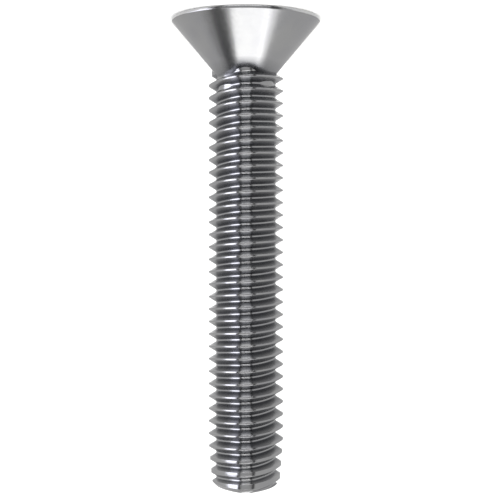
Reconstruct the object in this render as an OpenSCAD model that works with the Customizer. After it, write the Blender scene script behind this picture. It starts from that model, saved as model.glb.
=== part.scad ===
// Countersunk thread-forming screw, cold forged and thread rolled from one piece of wire.
// The head's flat face lies on z = 0, the thread points up, and one lobe of the section faces -Y.
// All sizes are in millimetres.

/* [Head] */
// Diameter of the head
head_d = 9.5; // [8.5:0.1:11]
// Angle of the countersink, from side to side
head_angle = 80; // [75:1:100]
// Height of the straight rim, with its rounded edge
rim_h = 0.22; // [0.15:0.01:0.5]
// Radius of the rounded edge between the rim and the flat face
rim_edge_r = 0.08; // [0.03:0.01:0.12]

/* [Neck] */
// Diameter of the plain neck, which fills the first groove a little between the lobes
neck_d = 3.56; // [3.4:0.02:3.7]
// Length of the neck from the end of the cone
neck_length = 0.9; // [0.4:0.1:1.5]
// Radius of the fillet between the cone and the neck
neck_fillet_r = 0.5; // [0.2:0.1:1]

/* [Drive socket] */
// Size of the six-lobe socket over opposite lobes
socket_outer_d = 4.5; // [4.3:0.05:4.8]
// Size of the socket between opposite flutes
socket_inner_d = 3.25; // [3:0.05:3.4]
// Radius of each of the six lobes at its tip
socket_lobe_r = 0.38; // [0.3:0.01:0.45]
// Depth of the straight walls
socket_depth = 1.7; // [1.2:0.05:2]
// Angle of the cone at the bottom, from side to side
socket_floor_angle = 140; // [120:1:170]
// Width of the bevel around the lobes at the mouth
socket_bevel = 0.12; // [0.05:0.01:0.25]
// Depth of the bevel where it meets the flutes
socket_bevel_depth = 0.25; // [0.1:0.01:0.4]

/* [Thread] */
// Length over all, with the head
screw_length = 30; // [16:0.5:50]
// Distance between neighbouring turns
pitch = 0.8; // [0.6:0.05:1]
// Diameter of the circle around the three lobes
lobe_circle_d = 5.14; // [4.9:0.02:5.4]
// Radius of each lobe over the crests
lobe_r = 1.36; // [1:0.02:1.8]
// Radius of the three sides between the lobes
side_r = 5; // [4:0.1:8]
// Rise of the helix over which the first ridge next to the head grows to its full height
run_out = 0.36; // [0.2:0.02:0.8]

/* [Point] */
// Length of the slight taper at the end of the thread
lead_length = 2.8; // [1:0.1:4]
// Slope of that taper on each side
lead_angle = 5; // [1:0.1:6]
// Width of the bevel around the flat end
end_bevel = 0.24; // [0.1:0.01:0.4]
// Slope of that bevel
end_angle = 45; // [30:1:60]

/* [Fineness] */
// Steps of the thread's mesh around each lobe
lobe_steps = 6; // [4:1:8]
// Steps of the thread's mesh along each side between two lobes
side_steps = 4; // [3:1:6]

/* [Hidden] */
$fn = 96;

// The section: small arcs about three lobe centres, joined by large arcs that touch them
lobes = 3;
lobe_period = 360 / lobes;
half_period = lobe_period / 2;
lobe_c = lobe_circle_d / 2 - lobe_r;
arc_gap = side_r - lobe_r;
// Each lobe's arc turns this far to both sides of its middle before the side takes over
lobe_turn = half_period - asin(lobe_c * sin(half_period) / arc_gap);
side_c = arc_gap * sin(lobe_turn) / sin(half_period);

// Angles of the thread's steps in one turn
lobe_edge_angle = lobe_edge(0);
side_angle = lobe_period - 2 * lobe_edge_angle;
turn_angles = [
    for (k = [0:lobes - 1])
        each concat(
            [for (i = [0:lobe_steps - 1]) k * lobe_period + lobe_edge_angle * (2 * i / lobe_steps - 1)],
            [for (i = [0:side_steps - 1]) k * lobe_period + lobe_edge_angle + side_angle * i / side_steps]
        )
];
per_turn = len(turn_angles);

// The profile of a metric thread
flank_angle = 30;
thread_depth = 17 / 24 * pitch * cos(flank_angle);
crest_flat = pitch / 8;

head_r = head_d / 2;
head_slope = tan(head_angle / 2);
neck_r = neck_d / 2;
// Height at which the cone meets the neck
neck_z = rim_h + (head_r - neck_r) / head_slope;
// Height at which the cone is as wide as the circle around the lobes, where the first lobe comes out
lobe_exit_z = rim_h + (head_r - lobe_circle_d / 2) / head_slope;
// Height at which the grooved core comes out of the cone on a lobe, where the first ridge is half grown
core_exit_z = lobe_exit_z + thread_depth / head_slope;
// Inside the head the ridge stands just proud of the core, so that its faces keep some width
start_inset = 0.98 * thread_depth;

// The thread starts inside the head and runs past the flat end, where it is cut
first_turn = floor(lobe_exit_z / pitch) - 1;
last_turn = ceil(screw_length / pitch);

rim_arc_steps = 4;
fillet_steps = 4;
socket_arc_steps = 6;
socket_lobes = 6;
socket_step = 360 / socket_lobes;
// Solids that are cut or joined reach this far past each other
overlap = 0.1;

function polar(r, angle, z) = [r * cos(angle), r * sin(angle), z];

function turned(p, angle) = [
    p[0] * cos(angle) - p[1] * sin(angle),
    p[0] * sin(angle) + p[1] * cos(angle)
];

// Angle from the nearest lobe's middle, from 0 on a lobe to half_period between two lobes
function from_lobe(angle) =
    let (past = angle - lobe_period * floor(angle / lobe_period))
    min(past, lobe_period - past);

// Angle from a lobe's middle to the end of its arc, as seen from the axis, with the outline moved in by an inset
function lobe_edge(inset) =
    let (r = lobe_r - inset)
    atan2(r * sin(lobe_turn), lobe_c + r * cos(lobe_turn));

// Distance of the section's outline from the axis, with the outline moved in by an inset
function section_r(angle, inset) =
    let (
        a = from_lobe(angle),
        b = half_period - a
    )
    a < lobe_edge(inset)
        ? lobe_c * cos(a) + sqrt(pow(lobe_r - inset, 2) - pow(lobe_c * sin(a), 2))
        : sqrt(pow(side_r - inset, 2) - pow(side_c * sin(b), 2)) - side_c * cos(b);

// How far the crest is set back at a height, for the run-out next to the head and the lead into a hole
function crest_inset(z) =
    let (
        grown = min(1, max(0, 0.5 + (z - core_exit_z) / run_out)),
        past = min(lead_length, z - screw_length + lead_length)
    )
    max(0, start_inset * (1 - grown), past * tan(lead_angle));

// Half the width of the ridge at an inset
function ridge_half(inset) = crest_flat / 2 + inset * tan(flank_angle);

// The ridge's four corners at an angle, from the groove below it over the crest to the groove above it
function ridge_points(angle) =
    let (
        z = pitch * angle / 360,
        crest = crest_inset(z),
        crest_r = section_r(angle, crest),
        root_r = section_r(angle, thread_depth)
    )
    [
        polar(root_r, angle, z - ridge_half(thread_depth)),
        polar(crest_r, angle, z - ridge_half(crest)),
        polar(crest_r, angle, z + ridge_half(crest)),
        polar(root_r, angle, z + ridge_half(thread_depth))
    ];

// The two triangles of a patch, whose corners run clockwise as seen from outside
function patch(a, b, c, d) = [[a, b, c], [a, c, d]];

// The threaded shank: a ridge that is swept along the helix and closed at both ends by a fan around the axis
module thread() {
    angles = [for (turn = [first_turn:last_turn], a = turn_angles) 360 * turn + a];
    last = len(angles) - 1;
    ridge = [for (a = angles) each ridge_points(a)];
    low_apex = len(ridge);
    high_apex = low_apex + 1;
    low_z = pitch * (angles[0] + angles[per_turn]) / 2 / 360;
    high_z = pitch * (angles[last] + angles[last - per_turn]) / 2 / 360;

    low_rim = concat(
        [for (i = [0:per_turn]) 4 * i],
        [3, 2, 1]
    );
    high_rim = concat(
        [for (i = [last - per_turn:last]) 4 * i + 3],
        [for (k = [2, 1, 0]) 4 * last + k]
    );
    flanks_and_crest = [
        for (i = [0:last - 1], k = [0:2])
            each patch(4 * i + k, 4 * i + k + 1, 4 * i + k + 5, 4 * i + k + 4)
    ];
    groove = [
        for (i = [0:last - per_turn - 1])
            each patch(4 * i + 3, 4 * (i + per_turn), 4 * (i + per_turn + 1), 4 * i + 7)
    ];
    low_fan = [
        for (i = [0:len(low_rim) - 1])
            [low_apex, low_rim[i], low_rim[(i + 1) % len(low_rim)]]
    ];
    high_fan = [
        for (i = [0:len(high_rim) - 1])
            [high_apex, high_rim[(i + 1) % len(high_rim)], high_rim[i]]
    ];
    polyhedron(
        points = concat(ridge, [[0, 0, low_z], [0, 0, high_z]]),
        faces = concat(flanks_and_crest, groove, low_fan, high_fan)
    );
}

// A thin slice of the lobed section, whose upper face is at a height
module section_slice(z, inset) {
    slice_h = 0.01;
    translate([0, 0, z - slice_h])
        linear_extrude(slice_h)
            polygon([for (a = turn_angles) turned([section_r(a, inset), 0], a)]);
}

// What is cut from the end of the thread: all above the flat end, and a bevel that follows the lobes
module end_cut() {
    bevel_h = 2 * pitch;
    end_inset = crest_inset(screw_length) + end_bevel;
    cut_h = bevel_h + 3 * pitch;
    difference() {
        translate([0, 0, screw_length - bevel_h])
            cylinder(d = 2 * lobe_circle_d, h = cut_h);
        hull() {
            section_slice(screw_length, end_inset);
            section_slice(screw_length - bevel_h, end_inset - bevel_h / tan(end_angle));
        }
    }
}

// The head: a flat face, a rim with a rounded edge, a cone, and a filleted neck that ends inside the shank
module head() {
    rounded_edge = [
        for (i = [0:rim_arc_steps])
            let (turn = 90 * i / rim_arc_steps)
            [head_r - rim_edge_r * (1 - sin(turn)), rim_edge_r * (1 - cos(turn))]
    ];
    fillet_turn = head_angle / 2;
    fillet_c = [neck_r + neck_fillet_r, neck_z + neck_fillet_r * tan(fillet_turn / 2)];
    fillet = [
        for (i = [0:fillet_steps])
            let (turn = fillet_turn * (1 - i / fillet_steps))
            fillet_c - neck_fillet_r * [cos(turn), sin(turn)]
    ];
    neck_end_z = neck_z + neck_length;
    rotate_extrude()
        polygon(concat(
            [[0, 0]],
            rounded_edge,
            [[head_r, rim_h]],
            fillet,
            [[neck_r, neck_end_z], [0, neck_end_z + neck_r]]
        ));
}

// Outline of the six-lobe socket: round lobes, and wider flutes between them that meet them smoothly
module socket_outline() {
    tip_c = socket_outer_d / 2 - socket_lobe_r;
    inner_r = socket_inner_d / 2;
    half_step = socket_step / 2;
    // The flute's radius follows from both arcs touching, by the law of cosines between their centres
    flute_r = (pow(tip_c, 2) + pow(inner_r, 2) - 2 * tip_c * inner_r * cos(half_step) - pow(socket_lobe_r, 2))
        / (2 * (socket_lobe_r - inner_r + tip_c * cos(half_step)));
    flute_c = inner_r + flute_r;
    // Direction from a lobe's centre to the next flute's centre, where the arcs touch
    tip_turn = atan2(flute_c * sin(half_step), flute_c * cos(half_step) - tip_c);
    flute_turn = tip_turn - half_step;
    polygon([
        for (k = [0:socket_lobes - 1])
            each concat(
                [
                    for (i = [0:socket_arc_steps])
                        let (a = tip_turn * (2 * i / socket_arc_steps - 1))
                        turned([tip_c, 0] + turned([socket_lobe_r, 0], a), k * socket_step)
                ],
                [
                    for (i = [1:socket_arc_steps - 1])
                        let (a = flute_turn * (1 - 2 * i / socket_arc_steps))
                        turned([flute_c, 0] - turned([flute_r, 0], a), k * socket_step + half_step)
                ]
            )
    ]);
}

// The space of the socket: straight walls, a cone at the bottom and a bevel around the mouth
module socket() {
    inner_r = socket_inner_d / 2;
    mouth_r = socket_outer_d / 2 + socket_bevel;
    translate([0, 0, -overlap])
        linear_extrude(socket_depth + overlap)
            socket_outline();
    rotate_extrude()
        polygon([
            [0, socket_depth - overlap],
            [inner_r, socket_depth - overlap],
            [inner_r, socket_depth],
            [0, socket_depth + inner_r / tan(socket_floor_angle / 2)]
        ]);
    rotate_extrude()
        polygon([
            [0, -overlap],
            [mouth_r, -overlap],
            [mouth_r, 0],
            [inner_r, socket_bevel_depth],
            [0, socket_bevel_depth]
        ]);
}

module screw() {
    color("silver")
        difference() {
            union() {
                head();
                rotate([0, 0, -90])
                    difference() {
                        thread();
                        end_cut();
                    }
            }
            socket();
        }
}

screw();
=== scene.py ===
# Countersunk thread-forming screw of zinc-plated steel, which stands on its head with the thread upwards
import math

import bmesh
import bpy
from mathutils import Matrix, Vector


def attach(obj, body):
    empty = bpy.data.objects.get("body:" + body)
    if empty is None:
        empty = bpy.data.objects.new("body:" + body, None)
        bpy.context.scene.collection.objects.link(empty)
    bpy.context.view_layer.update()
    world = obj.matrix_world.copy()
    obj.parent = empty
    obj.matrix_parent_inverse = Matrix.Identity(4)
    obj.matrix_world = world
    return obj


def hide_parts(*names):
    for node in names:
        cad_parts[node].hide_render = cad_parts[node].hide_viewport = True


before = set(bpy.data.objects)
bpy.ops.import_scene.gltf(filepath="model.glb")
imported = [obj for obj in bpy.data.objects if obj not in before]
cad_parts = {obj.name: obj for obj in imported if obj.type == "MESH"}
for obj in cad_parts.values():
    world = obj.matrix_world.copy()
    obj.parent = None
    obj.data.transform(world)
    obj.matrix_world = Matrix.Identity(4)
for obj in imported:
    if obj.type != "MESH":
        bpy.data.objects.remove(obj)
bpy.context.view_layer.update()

scene = bpy.context.scene
scene.view_settings.view_transform = "Standard"

# Sizes are in millimetres and angles in degrees, as in the part's source; the mesh itself is in metres
MM = 0.001

# Head and neck
head_r = 4.75
head_half_angle = 40
rim_h = 0.22
rim_edge_r = 0.08
rim_corner_r = 0.04
neck_r = 1.78
neck_length = 0.9
neck_fillet_r = 0.5
# A ring on the cone lies this far outside the thread, so that the first ridge cuts into short faces only
cut_margin = 0.1
head_steps = 240
head_arc_steps = 6

# Drive socket
socket_lobes = 6
socket_outer_r = 2.25
socket_inner_r = 1.625
socket_lobe_r = 0.38
socket_depth = 1.7
socket_floor_slope = 20
socket_mouth_r = 2.37
socket_bevel_depth = 0.25
socket_corner_r = 0.05
socket_corner_turns = (90, 60, 30, 0)
# Radius of the outermost ring on the conical floor
socket_floor_r = 0.9 * socket_inner_r

# Thread
screw_length = 30
pitch = 0.8
lobes = 3
lobe_circle_r = 2.57
lobe_r = 1.36
side_r = 5
flank_angle = 30
# A metric thread's depth, as a share of the height of its sharp triangle
depth_share = 17 / 24
crest_flat = pitch / 8
crest_edge_r = 0.025
root_edge_r = 0.09
# The rounded edges take up to this share of a flank
edge_share = 0.9
run_out = 0.36
# The thread starts inside the head and runs past the flat end, where it is cut
first_turn = 3
last_turn = 39
thread_steps = 96
arc_steps = 3

# Point
lead_length = 2.8
lead_angle = 5
end_bevel = 0.24
end_edge_r = 0.05
end_arc_steps = 4
# Width of the outermost ring on the flat end
end_land = 0.3
# What cuts the thread to its end stands this far off around it
envelope_margin = 1.2


def sin_of(angle):
    return math.sin(math.radians(angle))


def cos_of(angle):
    return math.cos(math.radians(angle))


def tan_of(angle):
    return math.tan(math.radians(angle))


def angle_of(across, along):
    """Angle in degrees, with the sign of the way across, to a point that far across and along."""
    return math.degrees(math.atan2(across, along))


thread_depth = depth_share * pitch * cos_of(flank_angle)
root_half = crest_flat / 2 + thread_depth * tan_of(flank_angle)
# Height at which the grooved core comes out of the cone on a lobe, where the first ridge is half grown
core_exit_z = rim_h + (head_r - lobe_circle_r + thread_depth) / tan_of(head_half_angle)
# Inside the head the ridge stands just proud of the core, so that its faces keep some width
start_inset = 0.98 * thread_depth

# The thread's section: small arcs about three lobe centres, joined by large arcs that touch them
lobe_period = 360 / lobes
half_period = lobe_period / 2
lobe_c = lobe_circle_r - lobe_r
arc_gap = side_r - lobe_r
lobe_turn = half_period - math.degrees(math.asin(lobe_c * sin_of(half_period) / arc_gap))
side_c = arc_gap * sin_of(lobe_turn) / sin_of(half_period)


def section_radius(angle, inset):
    """Distance of the thread's section from the axis, with its outline moved in by an inset."""
    past = angle % lobe_period
    from_lobe = min(past, lobe_period - past)
    from_side = half_period - from_lobe
    arc_r = lobe_r - inset
    lobe_edge = angle_of(arc_r * sin_of(lobe_turn), lobe_c + arc_r * cos_of(lobe_turn))
    if from_lobe < lobe_edge:
        return lobe_c * cos_of(from_lobe) + math.sqrt(arc_r**2 - (lobe_c * sin_of(from_lobe)) ** 2)
    side_arc_r = side_r - inset
    return math.sqrt(side_arc_r**2 - (side_c * sin_of(from_side)) ** 2) - side_c * cos_of(from_side)


def around(radius, angle, z):
    """A point of the screw in metres. Angle 0 is the lobe that faces -Y, and angles grow towards +X."""
    return Vector((radius * sin_of(angle), -radius * cos_of(angle), z)) * MM


def rounded(corners, steps):
    """A line through corners given as x, y and radius, with an arc at each corner that has a radius."""
    line = []
    for i, (x, y, radius) in enumerate(corners):
        corner = Vector((x, y))
        if radius == 0:
            line.append(corner)
            continue
        back = (Vector(corners[i - 1][:2]) - corner).normalized()
        ahead = (Vector(corners[i + 1][:2]) - corner).normalized()
        half = back.angle(ahead) / 2
        reach = radius / math.tan(half)
        centre = corner + (back + ahead).normalized() * radius / math.sin(half)
        start = corner + back * reach - centre
        end = corner + ahead * reach - centre
        for step in range(steps + 1):
            line.append(centre + start.slerp(end, step / steps).normalized() * radius)
    return line


def solid(name, bm):
    """A closed solid from a bmesh, with its faces turned outwards."""
    bmesh.ops.recalc_face_normals(bm, faces=bm.faces)
    mesh = bpy.data.meshes.new(name)
    bm.to_mesh(mesh)
    bm.free()
    piece = bpy.data.objects.new(name, mesh)
    scene.collection.objects.link(piece)
    return piece


def fan(bm, loop, apex):
    """Closes a loop of vertices with triangles around a point."""
    tip = bm.verts.new(apex)
    for i, vert in enumerate(loop):
        bm.faces.new((loop[i - 1], vert, tip))


def lofted(name, rings, first_apex, last_apex):
    """A solid over rings of points, closed at both ends around a point."""
    bm = bmesh.new()
    loops = [[bm.verts.new(point) for point in ring] for ring in rings]
    for low, high in zip(loops, loops[1:]):
        for i in range(len(low)):
            bm.faces.new((low[i - 1], low[i], high[i], high[i - 1]))
    fan(bm, loops[0], first_apex)
    fan(bm, loops[-1], last_apex)
    return solid(name, bm)


def bake(piece):
    """Applies a piece's modifiers to its mesh."""
    graph = bpy.context.evaluated_depsgraph_get()
    mesh = bpy.data.meshes.new_from_object(piece.evaluated_get(graph))
    piece.modifiers.clear()
    piece.data = mesh


def combine(piece, other, operation):
    """Cuts or joins a solid with another one, which is used up."""
    step = piece.modifiers.new("combine", "BOOLEAN")
    step.operation = operation
    step.solver = "EXACT"
    step.object = other
    bake(piece)
    bpy.data.objects.remove(other)


# Cuts leave some corners nearer to each other than this
weld_gap = 0.001


def weld(piece):
    """Makes one corner of those that lie too near to each other, and drops those inside an edge."""
    bm = bmesh.new()
    bm.from_mesh(piece.data)
    bmesh.ops.remove_doubles(bm, verts=bm.verts, dist=weld_gap * MM)
    bmesh.ops.dissolve_degenerate(bm, edges=bm.edges, dist=weld_gap * MM)
    bmesh.ops.dissolve_verts(bm, verts=[vert for vert in bm.verts if len(vert.link_edges) == 2])
    bm.to_mesh(piece.data)
    bm.free()


# The socket's outline: round lobes, and wider flutes between them that meet them smoothly
socket_half = 180 / socket_lobes
tip_c = socket_outer_r - socket_lobe_r
flute_r = (
    tip_c**2 + socket_inner_r**2 - 2 * tip_c * socket_inner_r * cos_of(socket_half) - socket_lobe_r**2
) / (2 * (socket_lobe_r - socket_inner_r + tip_c * cos_of(socket_half)))
flute_c = socket_inner_r + flute_r
tip_turn = angle_of(flute_c * sin_of(socket_half), flute_c * cos_of(socket_half) - tip_c)
tip_edge = angle_of(socket_lobe_r * sin_of(tip_turn), tip_c + socket_lobe_r * cos_of(tip_turn))


def socket_radius(angle):
    """Distance of the socket's wall from the axis. One lobe faces +X, as in the part's source."""
    past = (angle - 90) % (2 * socket_half)
    from_tip = min(past, 2 * socket_half - past)
    from_flute = socket_half - from_tip
    if from_tip < tip_edge:
        return tip_c * cos_of(from_tip) + math.sqrt(socket_lobe_r**2 - (tip_c * sin_of(from_tip)) ** 2)
    return flute_c * cos_of(from_flute) - math.sqrt(flute_r**2 - (flute_c * sin_of(from_flute)) ** 2)


def head_solid():
    """Head and socket as one run of rings, from the socket's floor over rim and cone to the neck."""
    turns = [360 * i / head_steps for i in range(head_steps)]
    walls = [socket_radius(turn) for turn in turns]
    floor_z = socket_depth + (socket_inner_r - socket_floor_r) * tan_of(socket_floor_slope)
    floor_apex_z = socket_depth + socket_inner_r * tan_of(socket_floor_slope)
    bevel_slope = socket_bevel_depth / (socket_mouth_r - socket_inner_r)

    rings = [[around(socket_floor_r, turn, floor_z) for turn in turns]]
    for corner_turn in socket_corner_turns:
        shrink = socket_corner_r * (1 - cos_of(corner_turn))
        corner_z = socket_depth - socket_corner_r * (1 - sin_of(corner_turn))
        rings.append([around(wall - shrink, turn, corner_z) for wall, turn in zip(walls, turns)])
    rings.append(
        [around(wall, turn, (socket_mouth_r - wall) * bevel_slope) for wall, turn in zip(walls, turns)]
    )

    neck_z = rim_h + (head_r - neck_r) / tan_of(head_half_angle)
    cut_r = lobe_circle_r + cut_margin
    profile = rounded(
        [
            (socket_mouth_r, 0, 0),
            (head_r, 0, rim_edge_r),
            (head_r, rim_h, rim_corner_r),
            (cut_r, neck_z - (cut_r - neck_r) / tan_of(head_half_angle), 0),
            (neck_r, neck_z, neck_fillet_r),
            (neck_r, neck_z + neck_length, 0),
        ],
        head_arc_steps,
    )
    for r, z in profile:
        rings.append([around(r, turn, z) for turn in turns])
    # Inside the shank the neck ends in a point
    neck_apex_z = neck_z + neck_length + neck_r
    return lofted("head", rings, around(0, 0, floor_apex_z), around(0, 0, neck_apex_z))


def ridge_profile(crest):
    """One turn's ridge from groove to groove, as heights along the axis and insets."""
    crest_half = crest_flat / 2 + crest * tan_of(flank_angle)
    # A flank that is cut short leaves room for smaller edges only
    flank = (thread_depth - crest) / cos_of(flank_angle)
    size = min(1, edge_share * flank / ((crest_edge_r + root_edge_r) * tan_of(flank_angle)))
    return rounded(
        [
            (-pitch / 2, thread_depth, 0),
            (-root_half, thread_depth, size * root_edge_r),
            (-crest_half, crest, size * crest_edge_r),
            (crest_half, crest, size * crest_edge_r),
            (root_half, thread_depth, size * root_edge_r),
            (pitch / 2, thread_depth, 0),
        ],
        arc_steps,
    )


def lead_inset(z):
    """How far the crest is set back at a height for the lead into a hole."""
    past = min(lead_length, z - screw_length + lead_length)
    return max(0, past * tan_of(lead_angle))


def crest_inset(z):
    """How far the crest is set back at a height, for the run-out next to the head or for the lead."""
    grown = min(1, max(0, 0.5 + (z - core_exit_z) / run_out))
    return max(start_inset * (1 - grown), lead_inset(z))


def thread_solid():
    """One ridge swept along the helix. Neighbouring turns share the middle of the groove between them."""
    bm = bmesh.new()
    count = (last_turn - first_turn) * thread_steps
    rows = []
    for i in range(count + 1):
        angle = 360 * (first_turn + i / thread_steps)
        middle = pitch * angle / 360
        ridge = ridge_profile(crest_inset(middle))
        # The last point of a ridge is the first one of the ridge above it
        if i + thread_steps <= count:
            ridge.pop()
        row = []
        for along, inset in ridge:
            row.append(bm.verts.new(around(section_radius(angle, inset), angle, middle + along)))
        rows.append(row)
    for i in range(count + 1 - thread_steps):
        rows[i].append(rows[i + thread_steps][0])

    for row, after in zip(rows, rows[1:]):
        for k in range(len(row) - 1):
            bm.faces.new((row[k], after[k], after[k + 1], row[k + 1]))

    low_loop = [row[0] for row in rows[:thread_steps]] + rows[0][:0:-1]
    high_loop = [row[-1] for row in rows[-thread_steps:]] + rows[-1][-2::-1]
    fan(bm, low_loop, around(0, 0, pitch * (first_turn + 0.5)))
    fan(bm, high_loop, around(0, 0, pitch * (last_turn - 0.5)))
    return solid("thread", bm)


def end_envelope():
    """What the thread is cut to: its flat end and the bevel around it, which follows the lobes."""
    turns = [360 * i / head_steps for i in range(head_steps)]
    end_inset = crest_inset(screw_length) + end_bevel
    outline = rounded(
        [
            (-envelope_margin, 0, 0),
            (-envelope_margin, screw_length - envelope_margin - end_inset, 0),
            (end_inset, screw_length, end_edge_r),
            (end_inset + end_land, screw_length, 0),
        ],
        end_arc_steps,
    )
    rings = [[around(section_radius(turn, inset), turn, z) for turn in turns] for inset, z in outline]
    return lofted("end envelope", rings, around(0, 0, 0), around(0, 0, screw_length))


screw = head_solid()
screw.name = "screw_visual"
shank = thread_solid()
combine(shank, end_envelope(), "INTERSECT")
combine(screw, shank, "UNION")
weld(screw)

# Smooth shading up to the real edges. Large faces count for more, so that flanks and cone stay true.
edge_angle = 35
screw.data.shade_smooth()
screw.data.set_sharp_from_angle(angle=math.radians(edge_angle))
shading = screw.modifiers.new("shading", "WEIGHTED_NORMAL")
shading.keep_sharp = True
bake(screw)

# How deep each point lies in the thread's grooves, in millimetres, for the painted shade that darkens them
# towards the root
groove_shade_start_z = core_exit_z - run_out / 2
groove_shade_end_gap = 0.1
groove_depth = screw.data.attributes.new("groove_depth", "FLOAT", "POINT")
for vert, depth in zip(screw.data.vertices, groove_depth.data):
    x, y, z = vert.co / MM
    if groove_shade_start_z < z < screw_length - groove_shade_end_gap:
        crest_r = section_radius(angle_of(x, -y), lead_inset(z))
        depth.value = crest_r - math.hypot(x, y)

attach(screw, "root")
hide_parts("screw")


def linear(hex_colour):
    """An sRGB hex colour as linear red, green, blue and alpha."""
    channels = []
    for i in (1, 3, 5):
        value = int(hex_colour[i:i + 2], 16) / 255
        channels.append(value / 12.92 if value <= 0.04045 else ((value + 0.055) / 1.055) ** 2.4)
    return (*channels, 1)


def add_node(tree, kind, links=None, stops=None, **settings):
    """Adds a node with its settings, its ramp's two stops, and its inputs' values or links."""
    node = tree.nodes.new(kind)
    for name, value in settings.items():
        setattr(node, name, value)
    for i, (place, colour) in enumerate(stops or []):
        stop = node.color_ramp.elements[i]
        stop.position = place
        stop.color = colour
    for name, value in (links or {}).items():
        if isinstance(value, bpy.types.NodeSocket):
            tree.links.new(value, node.inputs[name])
        else:
            node.inputs[name].default_value = value
    return node


def new_material(name):
    """An empty node material and its tree."""
    material = bpy.data.materials.new(name)
    material.use_nodes = True
    material.node_tree.nodes.clear()
    return material, material.node_tree


# Zinc-plated steel, cold forged and thread rolled. The plating gives a bright, faintly cool grey with
# soft-edged reflections. The forging dies leave faint rings around the axis, and the plating has a fine
# grain. Painted shade darkens the flanks towards the root of each groove and makes them a little rougher.
ring_width = 0.12  # die marks are about 0.02 mm wide, drawn coarser so that they show
ring_height = 0.0004
rings_per_radian = 0.8  # so that a mark runs on for about a fifth of a turn
grain_size = 0.2  # crystals of the plating are about 0.01 mm, drawn coarser so that they show
grain_height = 0.0003
cloud_size = 1.6  # patches in which the clear passivation is a little thicker
# The painted groove shade is a little weaker in patches of this size
groove_shade_patch_size = 0.5
groove_dullness = 0.08  # added to the plating's roughness
plating, tree = new_material("zinc_plated_steel_cold_forged")
place = add_node(tree, "ShaderNodeTexCoord").outputs["Object"]
axes = add_node(tree, "ShaderNodeSeparateXYZ", {0: place})
across = add_node(tree, "ShaderNodeVectorMath", {0: place, 1: (1, 1, 0)}, operation="MULTIPLY")
radius = add_node(tree, "ShaderNodeVectorMath", {0: across.outputs[0]}, operation="LENGTH")
turn = add_node(tree, "ShaderNodeMath", {0: axes.outputs["X"], 1: axes.outputs["Y"]}, operation="ARCTAN2")
slow_turn = add_node(
    tree,
    "ShaderNodeMath",
    {0: turn.outputs[0], 1: rings_per_radian * ring_width * MM},
    operation="MULTIPLY",
)
ring_place = add_node(
    tree,
    "ShaderNodeCombineXYZ",
    {0: radius.outputs["Value"], 1: axes.outputs["Z"], 2: slow_turn.outputs[0]},
)
rings = add_node(
    tree,
    "ShaderNodeTexNoise",
    {"Vector": ring_place.outputs[0], "Scale": 1 / (ring_width * MM), "Detail": 1.0},
)
grain = add_node(
    tree, "ShaderNodeTexNoise", {"Vector": place, "Scale": 1 / (grain_size * MM), "Detail": 2.0}
)
clouds = add_node(
    tree, "ShaderNodeTexNoise", {"Vector": place, "Scale": 1 / (cloud_size * MM), "Detail": 1.0}
)
zinc = add_node(
    tree,
    "ShaderNodeValToRGB",
    {"Fac": clouds.outputs["Fac"]},
    stops=[(0.35, linear("#b3b3b5")), (0.65, linear("#b9b9b9"))],
)

# Painted shade on the sloping flanks, darker towards the root, but not on the crests and roots themselves
normal = add_node(tree, "ShaderNodeNewGeometry").outputs["Normal"]
facing = add_node(tree, "ShaderNodeSeparateXYZ", {0: normal})
slope = add_node(tree, "ShaderNodeMath", {0: facing.outputs["Z"]}, operation="ABSOLUTE")
flank = add_node(
    tree, "ShaderNodeMapRange", {"Value": slope.outputs[0], "From Min": 0.15, "From Max": 0.45}
)
groove = add_node(tree, "ShaderNodeAttribute", attribute_name="groove_depth")
deep = add_node(
    tree,
    "ShaderNodeMapRange",
    {"Value": groove.outputs["Fac"], "From Min": 0.05, "From Max": 0.7 * thread_depth},
)
groove_shade_patches = add_node(
    tree, "ShaderNodeTexNoise", {"Vector": place, "Scale": 1 / (groove_shade_patch_size * MM), "Detail": 2.0}
)
spread = add_node(
    tree,
    "ShaderNodeMapRange",
    {
        "Value": groove_shade_patches.outputs["Fac"],
        "From Min": 0.3,
        "From Max": 0.6,
        "To Min": 0.85,
        "To Max": 1.0,
    },
)
# Painted shade mask: the flank and depth masks together, a little weaker in patches
groove_shade_cover = add_node(tree, "ShaderNodeMath", {0: flank.outputs[0], 1: deep.outputs[0]}, operation="MULTIPLY")
groove_shade = add_node(tree, "ShaderNodeMath", {0: groove_shade_cover.outputs[0], 1: spread.outputs[0]}, operation="MULTIPLY")
# Painted shade: the zinc's grey turns to a darker grey where the mask is full
tone = add_node(
    tree,
    "ShaderNodeMix",
    {"Factor": groove_shade.outputs[0], 6: zinc.outputs["Color"], 7: linear("#7a7b7e")},
    data_type="RGBA",
)

bare_dull = add_node(
    tree,
    "ShaderNodeMapRange",
    {"Value": grain.outputs["Fac"], "From Min": 0.3, "From Max": 0.7, "To Min": 0.17, "To Max": 0.22},
)
# The painted shade's mask also adds to the roughness
dull = add_node(
    tree,
    "ShaderNodeMath",
    {0: groove_shade.outputs[0], 1: groove_dullness, 2: bare_dull.outputs[0]},
    operation="MULTIPLY_ADD",
)
ring_relief = add_node(
    tree,
    "ShaderNodeBump",
    {"Height": rings.outputs["Fac"], "Strength": 1.0, "Distance": ring_height * MM},
)
relief = add_node(
    tree,
    "ShaderNodeBump",
    {
        "Height": grain.outputs["Fac"],
        "Strength": 1.0,
        "Distance": grain_height * MM,
        "Normal": ring_relief.outputs["Normal"],
    },
)
surface = add_node(
    tree,
    "ShaderNodeBsdfPrincipled",
    {
        "Base Color": tone.outputs[2],
        "Metallic": 1.0,
        "Roughness": dull.outputs[0],
        "Normal": relief.outputs["Normal"],
    },
)
add_node(tree, "ShaderNodeOutputMaterial", {"Surface": surface.outputs["BSDF"]})
screw.data.materials.clear()
screw.data.materials.append(plating)


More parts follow.
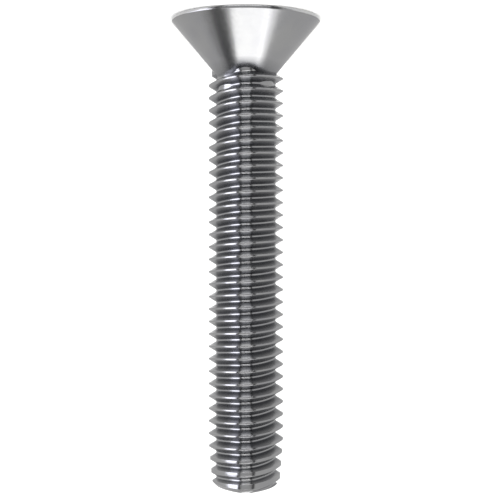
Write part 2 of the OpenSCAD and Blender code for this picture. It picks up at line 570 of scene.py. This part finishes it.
# The camera hangs upside down, because the photograph shows the head at the top
camera_place = Vector((-0.263, -78.9, 14.82)) * MM
camera_right = Vector((-1, 0, 0))
camera_up = Vector((0, 0, -1))
camera_back = Vector((0, -1, 0))
camera_data = bpy.data.cameras.new("camera")
camera_data.sensor_width = 36
camera_data.lens = 88.6
camera_data.clip_start = 0.001
camera_data.clip_end = 10
camera = bpy.data.objects.new("camera", camera_data)
camera_turn = Matrix((camera_right, camera_up, camera_back)).transposed()
camera.matrix_world = Matrix.Translation(camera_place) @ camera_turn.to_4x4()
scene.collection.objects.link(camera)
scene.camera = camera


# Floor and backdrop: a round card whose front edge lies just under the head, so that the rim mirrors
# little of it, and a sheet of paper far behind the screw that just fills the view
floor_r = 12
floor_front = 4.6
floor_gap = 0.02
floor_steps = 96
backdrop_y = 900
backdrop_margin = 1.05


def flat_card(name, corners):
    """A flat sheet of card between corners in millimetres."""
    bm = bmesh.new()
    bm.faces.new([bm.verts.new(Vector(corner) * MM) for corner in corners])
    return solid(name, bm)


floor_turns = [360 * i / floor_steps for i in range(floor_steps)]
floor = flat_card(
    "floor",
    [
        (floor_r * sin_of(turn), floor_r - floor_front - floor_r * cos_of(turn), -floor_gap)
        for turn in floor_turns
    ],
)
view_x, view_y, view_z = camera_place / MM
view_slope = camera_data.sensor_width / 2 / camera_data.lens
backdrop_half = backdrop_margin * (backdrop_y - view_y) * view_slope
backdrop = flat_card(
    "backdrop",
    [
        (view_x - backdrop_half, backdrop_y, view_z - backdrop_half),
        (view_x + backdrop_half, backdrop_y, view_z - backdrop_half),
        (view_x + backdrop_half, backdrop_y, view_z + backdrop_half),
        (view_x - backdrop_half, backdrop_y, view_z + backdrop_half),
    ],
)

# Flats around the screw that only the metal shows: a grey one behind the camera, black felt on both sides
# of that, and dark felt with a grey edge above and below. Above, the felt reaches further towards +X and
# ends nearer to the screw at the back. Below, it reaches further towards -X.
flat_distance = 450
grey_half = 315
black_turn = 46
black_half = 72
dark_short = 190
dark_reach = 355
dark_back = 150
low_z = screw_length / 2 - flat_distance
high_z = screw_length / 2 + flat_distance


def upright_flat(name, azimuth, half):
    """A flat that stands square to an azimuth, which is 0 at the camera and grows towards +X."""
    middle = Vector((sin_of(azimuth), -cos_of(azimuth), 0)) * flat_distance
    across = Vector((cos_of(azimuth), sin_of(azimuth), 0)) * half
    low = Vector((0, 0, low_z))
    high = Vector((0, 0, high_z))
    near = middle - across
    far = middle + across
    return flat_card(name, [near + low, far + low, far + high, near + high])


def level_flat(name, from_x, to_x, back, z):
    """A flat that lies level above or below the screw, from the camera's side to its back edge."""
    front = -flat_distance
    return flat_card(name, [(from_x, front, z), (to_x, front, z), (to_x, back, z), (from_x, back, z)])


grey_flats = [
    upright_flat("grey_flat_front", 0, grey_half),
    level_flat("grey_flat_above", dark_reach, flat_distance, flat_distance, high_z),
    level_flat("grey_flat_below", -flat_distance, -dark_reach, flat_distance, low_z),
]
dark_flats = [
    level_flat("dark_flat_above", -dark_short, dark_reach, dark_back, high_z),
    level_flat("dark_flat_below", -dark_reach, dark_short, flat_distance, low_z),
]
black_flats = [
    upright_flat("black_flat_left", black_turn, black_half),
    upright_flat("black_flat_right", -black_turn, black_half),
]
flats = grey_flats + dark_flats + black_flats
for sheet in flats:
    sheet.visible_camera = False


# Card and felt are pressed from fibres, which gives them a matt, faintly cloudy surface
fibre_size = 0.3
fibre_height = 0.005


def pulp_material(name, dark, light, glow):
    """Pressed fibres between two tones. Only the camera and mirrors see the glow, which lights nothing."""
    material, tree = new_material(name)
    place = add_node(tree, "ShaderNodeTexCoord").outputs["Object"]
    fibres = add_node(
        tree, "ShaderNodeTexNoise", {"Vector": place, "Scale": 1 / (fibre_size * MM), "Detail": 3.0}
    )
    pulp = add_node(
        tree,
        "ShaderNodeValToRGB",
        {"Fac": fibres.outputs["Fac"]},
        stops=[(0.35, linear(dark)), (0.65, linear(light))],
    )
    ray = add_node(tree, "ShaderNodeLightPath")
    mirrored = add_node(
        tree, "ShaderNodeMath", {0: ray.outputs["Is Camera Ray"], 1: ray.outputs["Is Glossy Ray"]}
    )
    seen = add_node(tree, "ShaderNodeMath", {0: mirrored.outputs[0], 1: ray.outputs["Is Transmission Ray"]})
    shine = add_node(tree, "ShaderNodeMath", {0: seen.outputs[0], 1: glow}, operation="MULTIPLY")
    tooth = add_node(
        tree,
        "ShaderNodeBump",
        {"Height": fibres.outputs["Fac"], "Strength": 1.0, "Distance": fibre_height * MM},
    )
    surface = add_node(
        tree,
        "ShaderNodeBsdfPrincipled",
        {
            "Base Color": pulp.outputs["Color"],
            "Roughness": 0.9,
            "Emission Color": linear("#ffffff"),
            "Emission Strength": shine.outputs[0],
            "Normal": tooth.outputs["Normal"],
        },
    )
    add_node(tree, "ShaderNodeOutputMaterial", {"Surface": surface.outputs["BSDF"]})
    return material


white_card = pulp_material("white_card_pressed_pulp", "#eeeeeb", "#f5f5f3", 0.3)
white_paper = pulp_material("white_paper_pressed_pulp", "#eeeeeb", "#f5f5f3", 0.8)
grey_card = pulp_material("grey_card_pressed_pulp", "#d4d4d4", "#dcdcdc", 0)
dark_felt = pulp_material("dark_felt_pressed_wool", "#606060", "#686868", 0)
black_felt = pulp_material("black_felt_pressed_wool", "#555555", "#5d5d5d", 0)
for sheets, material in (
    ([floor], white_card),
    ([backdrop], white_paper),
    (grey_flats, grey_card),
    (dark_flats, dark_felt),
    (black_flats, black_felt),
):
    for sheet in sheets:
        sheet.data.materials.append(material)


# Studio light: a softbox beside the screw with a fill above and below it, a panel overhead with a lamp at
# each edge, a strip above and below the camera, and a plain grey room
lamp_distance = 400


def softbox(name, azimuth, elevation, width, height, brightness, colour, turn):
    """A lamp in a direction from the screw, with its width and height as angles seen from there. Azimuth
    is 0 at the camera and grows towards +X. The width runs level, square to the azimuth it is turned to."""
    away = Vector(
        (sin_of(azimuth) * cos_of(elevation), -cos_of(azimuth) * cos_of(elevation), sin_of(elevation))
    )
    up = away.cross(Vector((cos_of(turn), sin_of(turn), 0))).normalized()
    lamp = bpy.data.lights.new(name, "AREA")
    lamp.shape = "RECTANGLE"
    lamp.size = 2 * lamp_distance * tan_of(width / 2) * MM
    lamp.size_y = 2 * lamp_distance * tan_of(height / 2) * MM
    lamp.energy = brightness * math.pi * lamp.size * lamp.size_y
    lamp.color = linear(colour)[:3]
    box = bpy.data.objects.new(name, lamp)
    aim = Vector((0, 0, screw_length / 2))
    place = Matrix.Translation((aim + away * lamp_distance) * MM)
    box.matrix_world = place @ Matrix((up.cross(away), up, away)).transposed().to_4x4()
    box.visible_camera = False
    scene.collection.objects.link(box)


# Azimuth, elevation, width, height, brightness, colour and turn
softbox("side_softbox", 76, 0, 46, 27, 2.7, "#f2f3ff", 75)
softbox("high_side_fill", 81, 23, 34, 18, 1.0, "#eaebff", 81)
softbox("low_side_fill", 81, -23, 34, 18, 1.0, "#eaebff", 81)
softbox("top_softbox", -25, 78, 46, 46, 2.0, "#ffffff", 0)
softbox("top_left_edge", 64, 66, 5, 46, 0.4, "#ffffff", 0)
softbox("top_right_edge", -72, 57, 8, 46, 0.8, "#ffffff", 0)
softbox("high_strip", -1, 38, 62, 19, 3.0, "#ffffff", -1)
softbox("low_strip", -1, -38, 62, 19, 3.0, "#ffffff", -1)

world = bpy.data.worlds.new("studio")
scene.world = world
world.use_nodes = True
tree = world.node_tree
tree.nodes.clear()
background = add_node(tree, "ShaderNodeBackground", {"Color": linear("#c9c9c9"), "Strength": 1.0})
add_node(tree, "ShaderNodeOutputWorld", {"Surface": background.outputs["Background"]})
